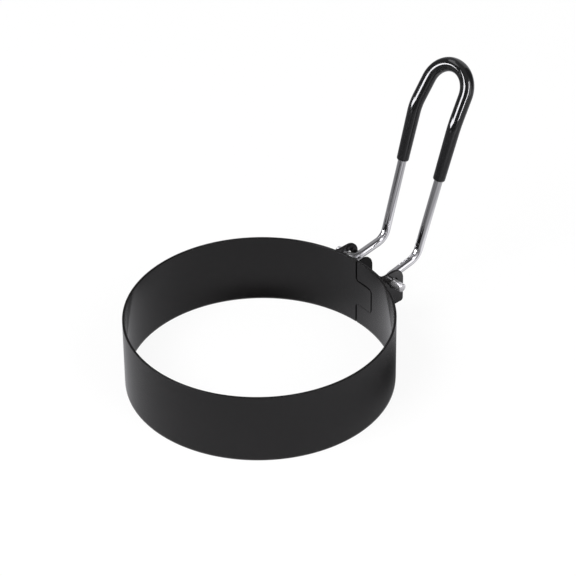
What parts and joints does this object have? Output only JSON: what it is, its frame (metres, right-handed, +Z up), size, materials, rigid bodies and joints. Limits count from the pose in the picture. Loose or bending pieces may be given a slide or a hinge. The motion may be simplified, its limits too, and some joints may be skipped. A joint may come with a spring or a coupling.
{
  "type": "egg ring",
  "caption": "Round steel egg ring with a dark non-stick coating and a fold-down wire handle with a dipped vinyl grip.",
  "frame": {"origin": "middle of the bounding box, on the plane that the band stands on", "axes": "+Z up along the band's axis, +Y from the band towards the hinge and the handle, +X to the right seen from the band, along the hinge axis"},
  "size_m": [0.09, 0.1376, 0.0849],
  "materials": {
    "coated_steel": "satin charcoal non-stick coating on sheet steel",
    "chrome": "bright plated steel wire",
    "black_vinyl": "glossy black dipped vinyl"
  },
  "bodies": {
    "ring": {"ring_band": "coated_steel", "hinge_bracket": "coated_steel", "stop_channel": "coated_steel"},
    "handle": {"handle_wire": "chrome", "loop_grip": "black_vinyl"}
  },
  "joints": [
    {"name": "handle_fold", "type": "hinge", "parent": "ring", "child": "handle", "pos_m": [0, 0.02681, 0.019], "axis": [1, 0, 0], "range_deg": [0, 114]}
  ]
}
